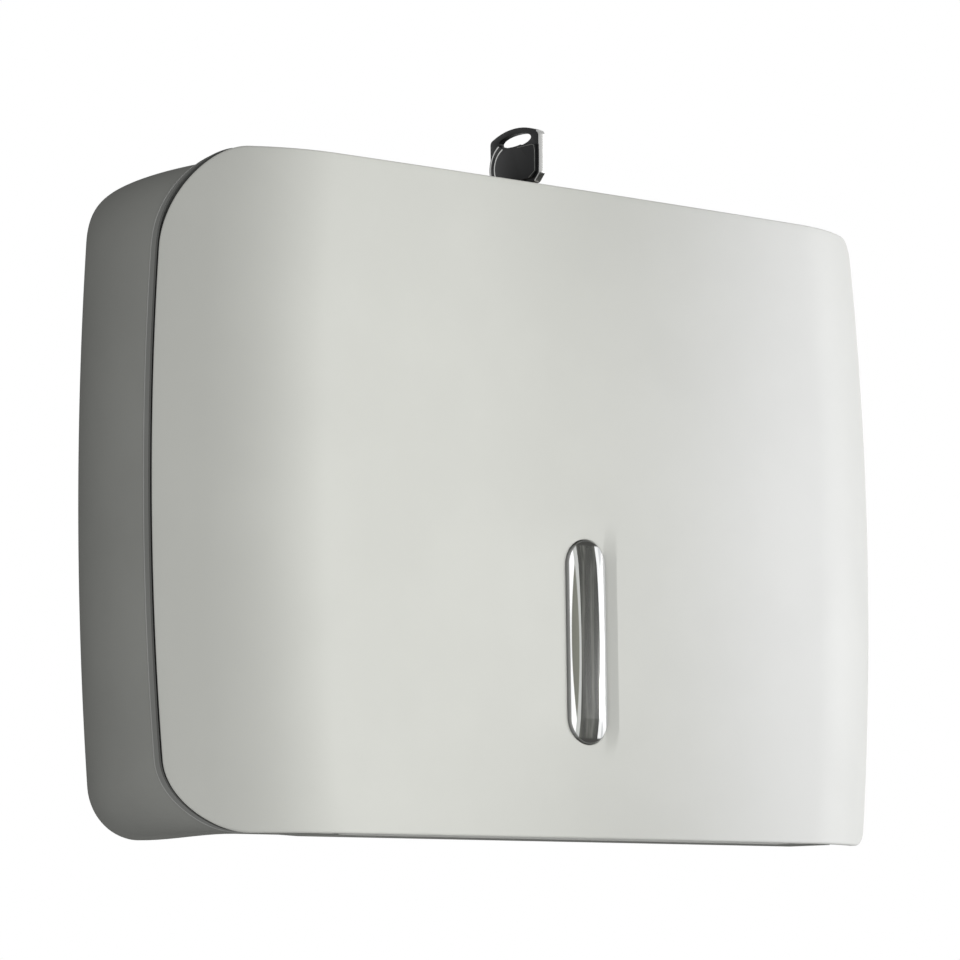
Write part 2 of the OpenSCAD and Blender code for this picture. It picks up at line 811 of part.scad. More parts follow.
module level_window() {
    body_w = window_w - 2 * slip;
    body_h = window_h - 2 * slip;
    arc_z = (pow(body_h / 2, 2) + pow(lens_bulge, 2)) / (2 * lens_bulge);
    arc_x = (pow(body_w / 2, 2) + pow(lens_bulge, 2)) / (2 * lens_bulge);
    color("#9fb0b4") {
        behind_front(lens_seat, lens_seat + lens_flange_t) window_place()
            slot_shape(window_h + 2 * lens_flange, window_w + 2 * lens_flange);
        intersection() {
            behind_front(-lens_bulge, lens_seat) window_place() slot_shape(body_h, body_w);
            translate([-window_w, front_y + arc_z - lens_bulge, -window_down]) rotate([0, 90, 0])
                cylinder(r = arc_z, h = 2 * window_w, $fn = 720);
            translate([0, front_y + arc_x - lens_bulge, -window_down - window_h])
                cylinder(r = arc_x, h = 2 * window_h, $fn = 180);
        }
    }
}

module window_retainer() {
    frame_w = window_w + 2 * lens_flange;
    frame_l = 2 * (window_post_up + post_r) + frame_w / 2;
    color("#d1d2cc") difference() {
        behind_front(retainer_back, retainer_back + retainer_t) window_place() difference() {
            slot_shape(frame_l, frame_w);
            slot_shape(window_h - 2 * retainer_lap, window_w - 2 * retainer_lap);
        }
        behind_front(retainer_back - over, retainer_back + retainer_t + over) window_posts()
            circle(window_screw_r + running);
    }
}

module window_screws() {
    l = retainer_back + retainer_t - pilot_wall - slip;
    color("silver") for (s = [-1, 1])
        translate([0, front_y + retainer_back + retainer_t, -window_down + s * window_post_up])
            rotate([-90, 0, 0]) screw(window_screw_r, l, post_head);
}

module latch_catch() {
    color("#b9bab8") difference() {
        union() {
            block([catch_x[0], plate_back, plate_low], [catch_x[1], plate_back + catch_t, arm_high]);
            block([catch_x[0], plate_back, arm_high - catch_t], [catch_x[1], hook_back + catch_t, arm_high]);
            block([catch_x[0], hook_back, arm_high - catch_t], [catch_x[1], hook_back + catch_t, hook_high]);
        }
        behind_front(plate_back - over, plate_back + catch_t + over)
            catch_posts() circle(catch_screw_r + running);
    }
}

module catch_screws() {
    l = plate_back + catch_t - pilot_wall - slip;
    color("silver") for (z = catch_post_z)
        translate([catch_mid, front_y + plate_back + catch_t, z]) rotate([-90, 0, 0])
            screw(catch_screw_r, l, post_head);
}

rear_housing();
throat_plate();
throat_screws();
towel_guide_left();
towel_guide_right();
guide_screws();
hinge_pin_left();
hinge_pin_right();
lock_barrel();
lock_washer();
lock_nut();
lock_plug();
lock_cam();
cam_screw();
key_blade();
key_head();
key_rim();
front_cover();
level_window();
window_retainer();
window_screws();
latch_catch();
catch_screws();
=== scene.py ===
import json
import math

import bmesh
import bpy
from mathutils import Matrix, Vector


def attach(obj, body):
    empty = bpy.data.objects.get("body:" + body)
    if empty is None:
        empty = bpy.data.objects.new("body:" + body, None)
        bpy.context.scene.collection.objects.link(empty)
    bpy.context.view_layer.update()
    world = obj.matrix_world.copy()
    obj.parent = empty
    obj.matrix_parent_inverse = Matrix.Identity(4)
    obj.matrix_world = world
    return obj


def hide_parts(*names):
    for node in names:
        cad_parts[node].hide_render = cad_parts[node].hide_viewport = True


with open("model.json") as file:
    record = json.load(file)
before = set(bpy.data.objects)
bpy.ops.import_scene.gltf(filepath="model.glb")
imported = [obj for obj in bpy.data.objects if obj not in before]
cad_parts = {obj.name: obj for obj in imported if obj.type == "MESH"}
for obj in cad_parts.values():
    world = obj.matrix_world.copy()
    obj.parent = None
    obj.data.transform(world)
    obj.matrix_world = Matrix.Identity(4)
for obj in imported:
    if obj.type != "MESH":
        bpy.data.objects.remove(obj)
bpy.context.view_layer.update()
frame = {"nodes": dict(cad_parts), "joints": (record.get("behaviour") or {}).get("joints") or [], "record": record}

scene = bpy.context.scene
mm = 0.001  # the forms below are written in millimetres
print("frame loaded:", len(frame["nodes"]), "nodes")


# shader helpers
def mathStep(operation, flipped=False):  # an operator that adds one Math node
    def step(self, other):
        pair = (other, self) if flipped else (self, other)
        return self.finish.node("Math", {"operation": operation}, {0: pair[0], 1: pair[1]})
    return step


class Signal:  # a socket that can stand in a sum
    def __init__(self, finish, socket):
        self.finish, self.socket = finish, socket

    __add__, __radd__ = mathStep("ADD"), mathStep("ADD", True)
    __sub__, __rsub__ = mathStep("SUBTRACT"), mathStep("SUBTRACT", True)
    __mul__, __rmul__ = mathStep("MULTIPLY"), mathStep("MULTIPLY", True)
    __truediv__, __rtruediv__ = mathStep("DIVIDE"), mathStep("DIVIDE", True)
    __pow__, __rpow__ = mathStep("POWER"), mathStep("POWER", True)
    most = mathStep("MAXIMUM")

    def __abs__(self):
        return self.finish.node("Math", {"operation": "ABSOLUTE"}, {0: self})

    def step(self, low, high):  # 0 below low, 1 above high, eased between
        return self.finish.node("MapRange", {"interpolation_type": "SMOOTHSTEP"},
                                {"Value": self, "From Min": low, "From Max": high})

    def past(self, line, soft):  # 1 beyond a line, with a soft edge on both sides of it
        return self.step(line - soft, line + soft)


class Finish:  # a material, or the world, built node by node
    def __init__(self, name, tree=None):
        self.material = None
        if tree is None:
            self.material = bpy.data.materials.new(name)
            self.material.use_nodes = True
            tree = self.material.node_tree
        self.tree = tree
        self.tree.nodes.clear()

    def node(self, kind, settings=None, sockets=None, out=0):
        made = self.tree.nodes.new("ShaderNode" + kind)
        for key, value in (settings or {}).items():
            setattr(made, key, value)
        for key, value in (sockets or {}).items():
            if isinstance(value, Signal):
                self.tree.links.new(value.socket, made.inputs[key])
            else:
                made.inputs[key].default_value = value
        return Signal(self, made.outputs[out]) if made.outputs else None

    def mixColour(self, factor, low, high):
        whole = [(*c, 1) if isinstance(c, tuple) else c for c in (low, high)]
        return self.node("Mix", {"data_type": "RGBA"}, {0: factor, 6: whole[0], 7: whole[1]}, out=2)

    def place(self):  # where a point lies in the shared frame, in millimetres
        spot = self.node("TexCoord", out=3)
        return self.node("VectorMath", {"operation": "SCALE"}, {0: spot, "Scale": 1 / mm})

    def axes(self, spot):
        return [self.node("SeparateXYZ", sockets={0: spot}, out=k) for k in range(3)]

    def stretch(self, spot, tight):  # packs a pattern along z, or draws it out where tight is below 1
        return self.node("VectorMath", {"operation": "MULTIPLY"}, {0: spot, 1: (1.0, 1.0, tight)})

    def noise(self, spot, size, detail=2.0, rough=0.5):
        return self.node("TexNoise", sockets={"Vector": spot, "Scale": 1 / size, "Detail": detail,
                                              "Roughness": rough})

    def bump(self, height, strength, distance):
        return self.node("Bump", sockets={"Height": height, "Strength": strength, "Distance": distance * mm})

    def close(self, sockets):
        self.node("OutputMaterial", sockets={0: self.node("BsdfPrincipled", sockets=sockets)})
        return self.material


def linear(tone):  # a screen colour as the shader takes it
    shares = [c / 255 for c in tone]
    return tuple(((s + 0.055) / 1.055) ** 2.4 if s > 0.04045 else s / 12.92 for s in shares)


def dim(tone, share):
    return tuple(c * share for c in tone)


# finishes
mouldedBase = {
    "dark": 0.95, "rough": 0.55, "gloss": 0.0, "grain": 0.45, "depth": 0.02, "bump": 0.6,
    "flowSize": 38.0, "flow": (0.35, 0.7), "speckSize": 1.1, "speck": (0.66, 0.8), "speckShare": 0.12,
    "wipeSize": 21.0, "wipe": 0.16,
}
mouldedLook = {  # what differs from the base
    "cover": {"tone": (206, 207, 201), "dark": 0.975, "rough": 0.45, "gloss": 0.06, "grain": 0.35,
              "depth": 0.004},
    "housing": {"tone": (154, 155, 151)},
    "strip": {"tone": (152, 153, 150)},
    # painted highlight: a lighter tone for the strip's rear edge
    "lip": {"tone": (186, 187, 184), "rough": 0.5, "gloss": 0.1},
    # painted shade: a dark tone for the strip's front faces in the gap behind the cover
    "gap": {"tone": (100, 101, 99), "rough": 0.6, "gloss": 0.05},
    "throat": {"tone": (98, 99, 97), "dark": 0.9, "rough": 0.52, "gloss": 0.3},
    "guide": {"tone": (150, 151, 147), "dark": 0.93, "rough": 0.48, "gloss": 0.3, "depth": 0.012},
    # painted highlight for the edge of the key's grip pad
    "paintedKeyHighlight": {"tone": (128, 129, 126), "dark": 0.85, "rough": 0.4, "gloss": 0.3, "grain": 0.3,
                "depth": 0.004},
    "keyBlack": {"tone": (20, 21, 22), "dark": 0.8, "rough": 0.4, "gloss": 0.22, "grain": 0.3,
                 "depth": 0.01},
}


def mouldedPlastic(name):  # even colour with slow flow marks, fine grain and handled gloss
    look = mouldedBase | mouldedLook[name]
    finish = Finish(name + "Plastic")
    spot = finish.place()
    flow = finish.noise(spot, look["flowSize"], 3).step(*look["flow"])
    speck = finish.noise(spot, look["speckSize"]).step(*look["speck"])
    tone = linear(look["tone"])
    shade = dim(tone, look["dark"])
    colour = finish.mixColour(flow, shade, tone)
    colour = finish.mixColour(speck * look["speckShare"], colour, shade)
    grain = finish.noise(spot, look["grain"], 3, 0.6)
    wipe = finish.noise(spot, look["wipeSize"], 4, 0.55)
    return finish.close({"Base Color": colour, "Roughness": look["rough"] + (wipe - 0.5) * look["wipe"],
                         "Specular IOR Level": look["gloss"],
                         "Normal": finish.bump(grain, look["bump"], look["depth"])})


metalBase = {
    "brushSize": 0.8, "brushTight": 7.0, "brush": 0.1, "bump": 0.25, "depth": 0.006,
    "dullSize": 4.5, "dullFrom": (0.42, 0.72), "dull": 0.12,
}
metalLook = {
    "nickel": {"tone": (0.72, 0.71, 0.68), "dark": 0.8, "rough": 0.24},
    "steel": {"tone": (0.62, 0.62, 0.61), "dark": 0.75, "rough": 0.34},
    "brass": {"tone": (0.71, 0.54, 0.26), "dark": 0.72, "rough": 0.3},
    "bright": {"tone": (0.46, 0.46, 0.45), "dark": 0.85, "rough": 0.26},
}


def platedMetal(name):  # plated or turned metal with faint brushing and dull patches
    look = metalBase | metalLook[name]
    finish = Finish(name + "Metal")
    spot = finish.place()
    brushed = finish.noise(finish.stretch(spot, look["brushTight"]), look["brushSize"], 3, 0.6)
    dull = finish.noise(spot, look["dullSize"], 4, 0.6).step(*look["dullFrom"])
    colour = finish.mixColour(dull, look["tone"], dim(look["tone"], look["dark"]))
    rough = look["rough"] + dull * look["dull"] + (brushed - 0.5) * look["brush"]
    return finish.close({"Base Color": colour, "Metallic": 1.0, "Roughness": rough,
                         "Normal": finish.bump(brushed, look["bump"], look["depth"])})


finishes = {name: mouldedPlastic(name) for name in mouldedLook}
finishes.update({name: platedMetal(name) for name in metalLook})
print("finishes made:", len(finishes))


# mesh helpers
def addObject(name, bm):
    mesh = bpy.data.meshes.new(name)
    bm.to_mesh(mesh)
    bm.free()
    made = bpy.data.objects.new(name, mesh)
    scene.collection.objects.link(made)
    return made


def smoothen(mesh, crease):  # smooth faces that stay sharp where they meet at more than the crease
    for face in mesh.polygons:
        face.use_smooth = True
    mesh.set_sharp_from_angle(angle=math.radians(crease))


def newPiece(name, bm, finish, body, nodes, crease=38):
    bmesh.ops.recalc_face_normals(bm, faces=bm.faces)
    piece = addObject(name, bm)
    piece.data.materials.append(finishes[finish])
    smoothen(piece.data, crease)
    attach(piece, body)
    if nodes:
        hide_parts(*nodes)
    return piece


def addRings(bm, rings, closed=False, capped=False):  # a skin over rings of points, each ring closed
    made = [[bm.verts.new(Vector(p) * mm) for p in ring] for ring in rings]
    count = len(made[0])
    pairs = list(zip(made, made[1:])) + ([(made[-1], made[0])] if closed else [])
    for a, b in pairs:
        for i in range(count):
            j = (i + 1) % count
            bm.faces.new((a[i], a[j], b[j], b[i]))
    if capped:
        bm.faces.new(made[0])
        bm.faces.new(made[-1])


def roundSteps(radius, steps=4):  # how far in and how far along a rounded edge goes
    turns = [math.radians(90 * k / steps) for k in range(steps + 1)]
    return [(radius * (1 - math.sin(t)), radius * (1 - math.cos(t))) for t in turns]


def circle(radius, count, middle=(0, 0)):
    turns = [2 * math.pi * k / count for k in range(count)]
    return [(middle[0] + radius * math.cos(t), middle[1] + radius * math.sin(t)) for t in turns]


def pillLoop(core, radius, count):  # a pill that lies along the first axis
    turns = [2 * math.pi * (k + 0.5) / count for k in range(count)]
    return [(math.copysign(core, math.cos(t)) + radius * math.cos(t), radius * math.sin(t)) for t in turns]


def boxLoop(left, right, low, high):
    return [(left, low), (right, low), (right, high), (left, high)]


def insetLoop(loop, amount):  # a closed outline moved inward, corner by corner
    made = []
    area = sum(a[0] * b[1] - b[0] * a[1] for a, b in zip(loop, loop[1:] + loop[:1]))
    turn = 1 if area > 0 else -1
    for before, here, after in zip(loop[-1:] + loop[:-1], loop, loop[1:] + loop[:1]):
        sides = []
        for a, b in ((before, here), (here, after)):
            run = Vector((b[0] - a[0], b[1] - a[1])).normalized()
            sides.append(Vector((-run.y, run.x)) * turn)
        lean = sides[0] + sides[1]
        lean = lean / max(lean.length_squared / 2, 0.3)  # keeps a very sharp corner from running far
        made.append((here[0] + lean.x * amount, here[1] + lean.y * amount))
    return made


def addPrism(bm, loop, low, high, turn):  # a flat outline made solid, with sharp edges
    addRings(bm, [[turn(a, b, level) for a, b in loop] for level in (low, high)], capped=True)


def addSlab(bm, loop, low, high, turn, edge=0.3):  # a flat outline made solid, with rounded edges
    steps = roundSteps(edge, 3)
    levels = [(inset, low + along) for inset, along in steps]
    levels += [(inset, high - along) for inset, along in steps[::-1]]
    rings = [[turn(a, b, level) for a, b in insetLoop(loop, inset)] for inset, level in levels]
    addRings(bm, rings, capped=True)


def addTube(bm, outerR, innerR, low, high, turn, edge=0.3, count=40):
    steps = roundSteps(edge, 3)
    profile = [(outerR - inset, low + along) for inset, along in steps]
    profile += [(outerR - inset, high - along) for inset, along in steps[::-1]]
    profile += [(innerR, high), (innerR, low)]
    addRings(bm, [[turn(*p, level) for p in circle(r, count)] for r, level in profile], closed=True)


def cut(piece, cutter):  # takes the cutter's solids out of the piece
    change = piece.modifiers.new("cut", "BOOLEAN")
    change.operation, change.solver, change.object = "DIFFERENCE", "EXACT", cutter
    bpy.context.view_layer.update()
    mesh = bpy.data.meshes.new_from_object(piece.evaluated_get(bpy.context.evaluated_depsgraph_get()))
    piece.modifiers.clear()
    old, piece.data = piece.data, mesh
    bpy.data.meshes.remove(old)
    bpy.data.objects.remove(cutter)


# cover
coverForm = {
    "depth": 92.0, "height": 200.0, "flatHalf": 100.0, "bendR": 57.0, "bendAngle": 54.0, "crown": 1.0,
    "sideBow": 5.7, "bowFrom": 0.6, "wall": 2.5, "topCorner": (18.2, 30.0), "lowCorner": (18.0, 21.0),
    "edge": 0.7, "innerEdge": 0.4, "runSteps": 56, "rowSteps": 130,
}
windowForm = {
    "halfW": 7.9, "halfH": 31.4, "down": 40.2, "lip": 0.35, "reach": 22.0,
    "nearRings": 30, "nearPower": 1.25, "edgeRings": (4.2, 4.4), "farRings": 76, "farEase": 0.12,
}
dishForm = {
    "deep": 1.8, "from": -34.0, "floorTo": 7.9, "swell": 1.5, "edge": 12.2, "steep": 0.42,
    "endFrom": 22.0, "topEnd": 39.0, "lowEnd": 37.5, "lowTurn": 3.0,
}
frontY = -coverForm["depth"]
coverHigh = coverForm["height"] / 2
bendTurn = math.radians(coverForm["bendAngle"])
coverHalf = coverForm["flatHalf"] + coverForm["bendR"] * math.sin(bendTurn)


def jointPlace(name):  # depth behind the front and height of a joint of the frame
    spot = next(joint["pos_m"] for joint in frame["joints"] if joint["name"] == name)
    return spot[1] / mm - frontY, spot[2] / mm


hingeBack, hingeZ = jointPlace("cover_hinge")
lockBack, _ = jointPlace("lock_turn")


def frontPlace(a, b, level):  # an outline seen from the front, laid at a depth behind it
    return a, frontY + level, b


def sidePlace(a, b, level):  # an outline of depth and height, laid at a place along the wall
    return level, frontY + a, b


def topPlace(a, b, level):  # an outline seen from above, with depths behind the front
    return a, frontY + b, level


def shifted(turn, across, up):
    return lambda a, b, level: turn(a + across, b + up, level)


def ease(low, high, value):
    t = min(1, max(0, (value - low) / (high - low)))
    return t * t * (3 - 2 * t)


def bendRun(x):
    return max(abs(x) - coverForm["flatHalf"], 0)


def planDepth(x):
    form = coverForm
    flat = form["crown"] * (min(abs(x), form["flatHalf"]) / form["flatHalf"]) ** 2
    return flat + form["bendR"] - math.sqrt(form["bendR"] ** 2 - bendRun(x) ** 2)


def planTurn(x):
    return math.asin(bendRun(x) / coverForm["bendR"])


def cornerIn(q, hh, corner):
    turned = min(1, max(0, abs(q) * hh - (hh - corner[1])) / corner[1])
    return corner[0] * (1 - math.sqrt(1 - turned ** 2))


def halfAt(q, half, hh, bow, upper, lower):
    return half - bow * q * q - cornerIn(q, hh, upper if q > 0 else lower)


def bowShift(x, q):
    start = coverForm["bowFrom"]
    share = min(1, max(0, abs(x) / coverForm["flatHalf"] - start) / (1 - start))
    return coverForm["sideBow"] * q * q * share


def coverX(u, q):
    form = coverForm
    return u * halfAt(q, coverHalf, coverHigh, form["sideBow"], form["topCorner"], form["lowCorner"])


def dishDepth(x, z):  # the scoop that the window sits in: deeper towards a crisp wall on its right
    form = dishForm
    up = z + windowForm["down"]
    ended = ease(form["endFrom"], form["topEnd" if up > 0 else "lowEnd"], abs(up))
    share = min(1, max(0, (x - form["from"]) / (form["floorTo"] - form["from"])))
    turned = form["lowTurn"] * ended ** 2 if up < 0 else 0
    wall = max(0, form["edge"] - turned - x) * form["steep"]
    return (1 - ended) * min(form["deep"] * share ** form["swell"], wall)


def coverPoint(x, z, deep, dished=0.0):
    bent = abs(x) + bowShift(x, z / coverHigh)
    turn = planTurn(bent)
    return (x - math.copysign(deep * math.sin(turn), x),
            frontY + planDepth(bent) + deep * math.cos(turn) + dished, z)


def wayRound(runs, rows):  # clockwise from the front: along the top, down, back along the bottom and up
    shares = [math.sin(math.pi / 2 * (1 - 2 * i / rows)) for i in range(rows + 1)]
    return ([(2 * k / runs - 1, 1) for k in range(runs)] + [(1, q) for q in shares[:-1]]
            + [(1 - 2 * k / runs, -1) for k in range(runs)] + [(-1, q) for q in shares[:0:-1]])


def loopNormals(loop):  # the outward way at each point of a clockwise outline
    made = []
    for before, after in zip(loop[-1:] + loop[:-1], loop[1:] + loop[:1]):
        run = Vector((after[0] - before[0], after[1] - before[1])).normalized()
        made.append((-run.y, run.x))
    return made


def windowSide(x, z, out):  # the point that far outside the window on the way to a place
    core = windowForm["halfH"] - windowForm["halfW"]
    coreZ = min(max(z, -windowForm["down"] - core), -windowForm["down"] + core)
    way = Vector((x, z - coreZ)).normalized() * (windowForm["halfW"] + out)
    return way.x, coreZ + way.y


def buildCover():
    form, pane = coverForm, windowForm
    outline = [(coverX(u, q), q * coverHigh) for u, q in wayRound(form["runSteps"], form["rowSteps"])]
    normals = loopNormals(outline)

    def inset(amount):
        made = []
        for (x, z), (nx, nz) in zip(outline, normals):
            slant = math.cos(planTurn(abs(x) + bowShift(x, z / coverHigh)))
            made.append((x - nx * amount * slant, z - nz * amount))
        return made

    def spread(edge, lip):  # the flat places of the rings from the window out to the edge
        steps = [(k / pane["nearRings"]) ** pane["nearPower"] for k in range(pane["nearRings"] + 1)]
        near = sorted([lip + (pane["reach"] - lip) * t for t in steps] + list(pane["edgeRings"]))
        rings = [[windowSide(x, z, out) for x, z in outline] for out in near]
        pairs = list(zip(rings[-1], inset(edge)))
        for k in range(1, pane["farRings"] + 1):
            t = k / pane["farRings"]
            t = t + pane["farEase"] * math.sin(2 * math.pi * t) / (2 * math.pi)
            rings.append([(a[0] + (b[0] - a[0]) * t, a[1] + (b[1] - a[1]) * t) for a, b in pairs])
        return rings

    front = spread(form["edge"], pane["lip"])
    rings = [[coverPoint(x, z, 0, dishDepth(x, z)) for x, z in ring] for ring in front]
    for away, deep in roundSteps(form["edge"], 5)[1:]:
        rings.append([coverPoint(x, z, deep) for x, z in inset(away)])
    for away, deep in roundSteps(form["innerEdge"], 3)[::-1]:
        rings.append([coverPoint(x, z, form["wall"] - deep) for x, z in inset(away)])
    back = spread(form["innerEdge"], 0)[:-1][::-1]
    rings += [[coverPoint(x, z, form["wall"]) for x, z in ring] for ring in back]
    for away, deep in roundSteps(pane["lip"], 3)[::-1][:-1]:
        lip = [windowSide(x, z, away) for x, z in outline]
        rings.append([coverPoint(x, z, deep, dishDepth(x, z)) for x, z in lip])
    bm = bmesh.new()
    addRings(bm, rings, closed=True)
    return bm


coverInside = {
    "postR": 3.5, "pilotR": 1.2, "postFrom": 1.25, "windowPostUp": 38.1, "windowPostTo": 4.4,
    "catchX": 18.0, "catchPostZ": (49.75, 59.75), "catchPostTo": 5.5,
    "knuckleR": 3.0, "knuckleSteps": 24, "lugX": (93.2, 97.7), "lugRoot": 2.25,
    "footHalf": 89.2, "footTo": 11.0, "footT": 2.0, "footEdge": 0.4,
}


def knuckle(s):  # half a round about the hinge: 1 upwards round its back, -1 downwards round its front
    form = coverInside
    turns = [math.pi * k / form["knuckleSteps"] for k in range(form["knuckleSteps"] + 1)]
    return [(hingeBack + s * form["knuckleR"] * math.sin(t), hingeZ - s * form["knuckleR"] * math.cos(t))
            for t in turns]


def buildCoverInside(bm):
    form = coverInside
    posts = [(0, -windowForm["down"] + s * form["windowPostUp"], form["windowPostTo"]) for s in (-1, 1)]
    posts += [(form["catchX"], z, form["catchPostTo"]) for z in form["catchPostZ"]]
    for x, z, end in posts:
        addTube(bm, form["postR"], form["pilotR"], form["postFrom"], end, shifted(frontPlace, x, z))
    root, r = form["lugRoot"], form["knuckleR"]
    lug = [(root, hingeZ - r)] + knuckle(1) + [(root, hingeZ + r)]
    for s in (-1, 1):
        addSlab(bm, lug, *sorted(s * x for x in form["lugX"]), sidePlace)
    foot = boxLoop(root, form["footTo"], -coverHigh, -coverHigh + form["footT"])
    addSlab(bm, foot, -form["footHalf"], form["footHalf"], sidePlace, form["footEdge"])


bm = buildCover()
buildCoverInside(bm)
cover = newPiece("coverShell", bm, "cover", "cover", ["front_cover"])
print("cover built:", len(cover.data.polygons), "faces")


# housing
housingForm = {
    "wall": 2.5, "edgeDrop": 1.25, "sideInset": 1.0, "sideR": 70.0, "widestBack": 40.5, "rimGap": 1.2,
    "stripInset": 0.1, "stripLift": 0.95, "stripW": 4.5, "stripProud": 0.7, "rimSoft": 0.25, "lipW": 0.8,
    "backBow": 4.2, "backEdge": 1.2,
    "topFront": (20.0, 28.0), "topBack": (10.0, 9.0), "topTurn": 3, "topTight": 3.8,
    "lowFront": (18.0, 21.0), "lowBack": (16.0, 14.0), "lowTurn": 1, "lowTight": 0.0,
    "runSteps": 56, "rowSteps": 120, "stations": 34, "crease": 30,
    "footHalf": 128.4, "footBack": 14.2, "earX": (98.0, 101.0), "earRoot": 12.0,
    "lockHoleR": 8.3, "lockHoleSteps": 64, "screwHoleSteps": 32, "slotBack": 55.0, "mouth": (146.0, 42.0),
    "mouthSteps": 96, "cutPast": 1.0, "cutBelow": 3.0,
    "floorRise": 2.6, "floorRamp": 0.36, "floorTurn": 0.86,
    "apronHalf": 116.0, "apronT": 2.0, "apronDrop": 0.35, "apronEnd": 16.0,
    "bossR": 8.0, "bossH": 3.0, "bossEdge": 0.5, "ribT": 1.6, "ribH": 2.0, "sink": 0.5,
}
housingLooks = ["housing", "strip", "lip", "gap"]  # the shell, the strip behind the cover, its rear edge with a painted highlight and its front faces with painted shade in the gap behind the cover
caseHalf = coverHalf - housingForm["sideInset"]
caseHigh = coverHigh - housingForm["edgeDrop"]
floorIn = -caseHigh + housingForm["floorRise"] + housingForm["wall"]
edgeDepth = coverForm["crown"] + coverForm["bendR"] * (1 - math.cos(bendTurn))
stripFront = coverHalf - housingForm["stripInset"]
wallScrews = next(mount["dims"] for mount in frame["record"]["mounts"] if mount["name"] == "wall_screws")
screwHalf = (wallScrews["spacing_x_mm"] / 2, wallScrews["spacing_y_mm"] / 2)
screwSpots = [(sx * screwHalf[0], sz * screwHalf[1]) for sx in (-1, 1) for sz in (-1, 1)]


def coverBack(x, z):  # depth of the back of the cover, its inner face or its sloping edge
    q = z / coverHigh
    edge = coverX(1, q)
    edgeBent = edge + bowShift(edge, q)
    bent = abs(x) + bowShift(x, q)
    return min(planDepth(bent) + coverForm["wall"] / math.cos(planTurn(bent)),
               planDepth(edgeBent) + max(edge - abs(x), 0) / math.tan(planTurn(edgeBent)))


def sideHalf(d):
    radius = housingForm["sideR"]
    away = max(d, edgeDepth) - housingForm["widestBack"]
    return caseHalf - radius + math.sqrt(radius ** 2 - away ** 2)


def floorLift(u, q):  # the floor rises from its left end and stays raised
    form = housingForm
    if u > 0:
        return form["floorRise"] * ease(form["floorTurn"], 1, -q)
    return form["floorRise"] * ease(0, form["floorRamp"], 1 + u) if q == -1 else 0


def sectionPlace(u, q, t, half, inset, tight=0):
    form = housingForm
    high = caseHigh - inset
    corners = []
    for side in ("top", "low"):
        share = t ** form[side + "Turn"]
        ends = zip(form[side + "Front"], form[side + "Back"])
        corners.append([a + (b - a) * share - inset - tight * form[side + "Tight"] for a, b in ends])
    bow = coverForm["sideBow"] + (form["backBow"] - coverForm["sideBow"]) * t
    return u * halfAt(q, half - inset, high, bow, *corners), q * high + floorLift(u, q)


def buildHousing():
    form = housingForm
    way = wayRound(form["runSteps"], form["rowSteps"])
    lift, soft, depth = form["stripLift"], form["rimSoft"], coverForm["depth"]
    rims = []
    for u, q in way:
        rims.append(coverBack(*sectionPlace(u, q, 0, stripFront - lift, -lift, 1)) + form["rimGap"])
    slope = (stripFront - sideHalf(edgeDepth) + form["wall"]) / math.tan(bendTurn)
    stripRear = sideHalf(edgeDepth + form["stripW"]) + form["stripProud"]
    lipAt = form["stripW"] - form["lipW"]
    lipHalf = stripFront + (stripRear - stripFront) * lipAt / form["stripW"]

    def ring(place):
        made = []
        for (u, q), rim in zip(way, rims):
            d, *section = place(rim)
            x, z = sectionPlace(u, q, *section)
            made.append((x, frontY + d, z))
        return made

    def along(share, before, last, inset):  # from a place behind the rim to the last depth
        def place(rim):
            d = rim + before + (last - rim - before) * share
            return d, share, sideHalf(d), inset
        return ring(place)

    def strip(behind, half):
        return ring(lambda rim: (rim + behind, 0, half - lift, -lift, 1))

    def backEdge(before, inset):
        return ring(lambda rim: (depth - before, 1, sideHalf(depth - before), inset))

    shares = [k / form["stations"] for k in range(form["stations"] + 1)]
    made = [(along(t, slope, depth - form["wall"], form["wall"]), "housing") for t in shares[::-1]]
    # the strip's front faces in the gap behind the cover carry painted shade
    made += [(strip(0, stripFront - 2 * soft), "gap"), (strip(soft, stripFront), "gap"),
             # the strip's rear edge carries a painted highlight
             (strip(lipAt, lipHalf), "strip"), (strip(form["stripW"], stripRear), "lip")]
    made += [(along(t, form["stripW"] + form["stripProud"], depth, 0), "housing") for t in shares[:-1]]
    made += [(backEdge(before, inset), "housing") for inset, before in roundSteps(form["backEdge"])[::-1]]
    bm = bmesh.new()
    addRings(bm, [points for points, _ in made], capped=True)
    bm.faces.ensure_lookup_table()
    for k, (_, look) in enumerate(made[1:]):
        for face in bm.faces[k * len(way):(k + 1) * len(way)]:
            face.material_index = housingLooks.index(look)
    return bm


def housingCutter():  # the way for the cover's foot, the mouth, the lock hole and the wall screws' holes
    form = housingForm
    past, low = form["cutPast"], -caseHigh - form["cutBelow"]
    bm = bmesh.new()
    foot = boxLoop(-form["footHalf"], form["footHalf"], -past, form["footBack"])
    addPrism(bm, foot, low, floorIn + past, topPlace)
    length, width = form["mouth"]
    mouth = pillLoop((length - width) / 2, width / 2, form["mouthSteps"])
    addPrism(bm, mouth, low, floorIn + past, shifted(topPlace, 0, form["slotBack"]))
    hole = circle(form["lockHoleR"], form["lockHoleSteps"], (0, lockBack))
    addPrism(bm, hole, caseHigh - form["wall"] - past, caseHigh + past, topPlace)
    for spot in screwSpots:
        hole = circle(wallScrews["hole_r_mm"], form["screwHoleSteps"], spot)
        addPrism(bm, hole, coverForm["depth"] - form["wall"] - past, coverForm["depth"] + past, frontPlace)
    bmesh.ops.recalc_face_normals(bm, faces=bm.faces)
    return addObject("cutter", bm)


